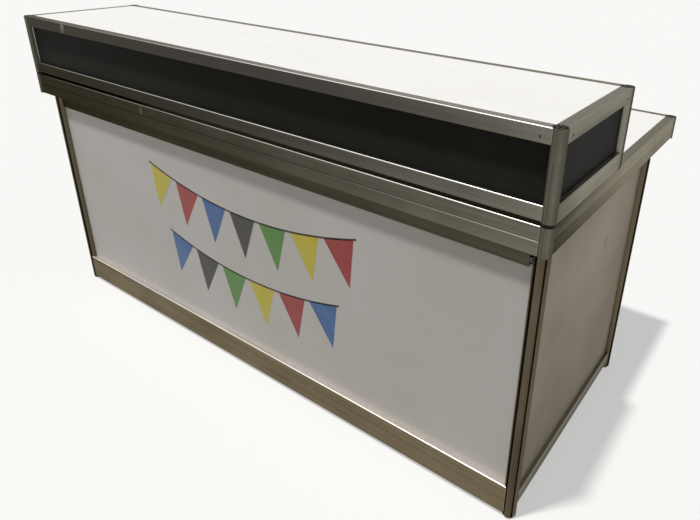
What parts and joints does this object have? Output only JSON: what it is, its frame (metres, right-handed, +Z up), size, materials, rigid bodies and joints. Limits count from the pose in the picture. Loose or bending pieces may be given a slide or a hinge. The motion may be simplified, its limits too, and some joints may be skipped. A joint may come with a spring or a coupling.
{
  "type": "buffet table",
  "caption": "Free-standing buffet counter of grooved round posts and hollow rails: open-backed cabinet, overhanging worktop frame and a raised display shelf on the guests' side.",
  "frame": {"origin": "on the floor under the middle of the worktop's outline", "axes": "+X along the counter to the guests' right, +Y from the guests' side to the service side, +Z up"},
  "size_m": [2.196, 1.086, 1.122],
  "materials": {
    "anodised_aluminium": "satin anodised, worn",
    "white_faced_board": "melamine-faced, satin",
    "white_panel": "satin",
    "warm_grey_panel": "satin",
    "black_panel": "satin",
    "black_plastic": "matte",
    "zinc_plated_steel": "zinc plated"
  },
  "bodies": {
    "cabinet": {"cabinet_floor_board": "white_faced_board", "cabinet_front_base_rail": "anodised_aluminium", "cabinet_front_panel": "white_panel", "cabinet_front_top_rail": "anodised_aluminium", "cabinet_left_base_rail": "anodised_aluminium", "cabinet_left_panel": "warm_grey_panel", "cabinet_locating_pins": "black_plastic", "cabinet_lock_screws": "zinc_plated_steel", "cabinet_post_front_left": "anodised_aluminium", "cabinet_post_front_right": "anodised_aluminium", "cabinet_post_rear_left": "anodised_aluminium", "cabinet_post_rear_right": "anodised_aluminium", "cabinet_rail_locks": "zinc_plated_steel", "cabinet_rear_base_rail": "anodised_aluminium", "cabinet_rear_top_rail": "anodised_aluminium", "cabinet_right_base_rail": "anodised_aluminium", "cabinet_right_panel": "warm_grey_panel", "cabinet_shelf": "white_faced_board", "cabinet_shelf_brackets": "zinc_plated_steel"},
    "worktop": {"worktop_board": "white_faced_board", "worktop_front_lower_rail": "anodised_aluminium", "worktop_front_upper_rail": "anodised_aluminium", "worktop_left_bearer": "anodised_aluminium", "worktop_left_lower_rail": "anodised_aluminium", "worktop_left_upper_rail": "anodised_aluminium", "worktop_lock_screws": "zinc_plated_steel", "worktop_middle_bearer": "anodised_aluminium", "worktop_post_front_left": "anodised_aluminium", "worktop_post_front_right": "anodised_aluminium", "worktop_post_rear_left": "anodised_aluminium", "worktop_post_rear_right": "anodised_aluminium", "worktop_rail_locks": "zinc_plated_steel", "worktop_rear_lower_rail": "anodised_aluminium", "worktop_rear_upper_rail": "anodised_aluminium", "worktop_right_lower_rail": "anodised_aluminium", "worktop_right_upper_rail": "anodised_aluminium"},
    "riser": {"riser_front_lower_rail": "anodised_aluminium", "riser_front_panel": "black_panel", "riser_front_upper_rail": "anodised_aluminium", "riser_left_lower_rail": "anodised_aluminium", "riser_left_panel": "black_panel", "riser_left_upper_rail": "anodised_aluminium", "riser_lock_screws": "zinc_plated_steel", "riser_post_front_left": "anodised_aluminium", "riser_post_front_right": "anodised_aluminium", "riser_post_plugs": "black_plastic", "riser_post_rear_left": "anodised_aluminium", "riser_post_rear_right": "anodised_aluminium", "riser_rail_locks": "zinc_plated_steel", "riser_rear_upper_rail": "anodised_aluminium", "riser_right_lower_rail": "anodised_aluminium", "riser_right_panel": "black_panel", "riser_right_upper_rail": "anodised_aluminium", "riser_top_board": "white_faced_board"},
    "foot_front_left": {"foot_front_left": "black_plastic"},
    "foot_front_right": {"foot_front_right": "black_plastic"},
    "foot_rear_left": {"foot_rear_left": "black_plastic"},
    "foot_rear_right": {"foot_rear_right": "black_plastic"}
  },
  "joints": [
    {"name": "worktop_lift", "type": "slide", "parent": "cabinet", "child": "worktop", "axis": [0, 0, 1], "range_m": [0, 0.12]},
    {"name": "riser_lift", "type": "slide", "parent": "worktop", "child": "riser", "axis": [0, 0, 1], "range_m": [0, 0.25]},
    {"name": "foot_front_left_height", "type": "slide", "parent": "cabinet", "child": "foot_front_left", "axis": [0, 0, -1], "range_m": [0, 0.02]},
    {"name": "foot_front_right_height", "type": "slide", "parent": "cabinet", "child": "foot_front_right", "axis": [0, 0, -1], "range_m": [0, 0.02]},
    {"name": "foot_rear_left_height", "type": "slide", "parent": "cabinet", "child": "foot_rear_left", "axis": [0, 0, -1], "range_m": [0, 0.02]},
    {"name": "foot_rear_right_height", "type": "slide", "parent": "cabinet", "child": "foot_rear_right", "axis": [0, 0, -1], "range_m": [0, 0.02]}
  ]
}
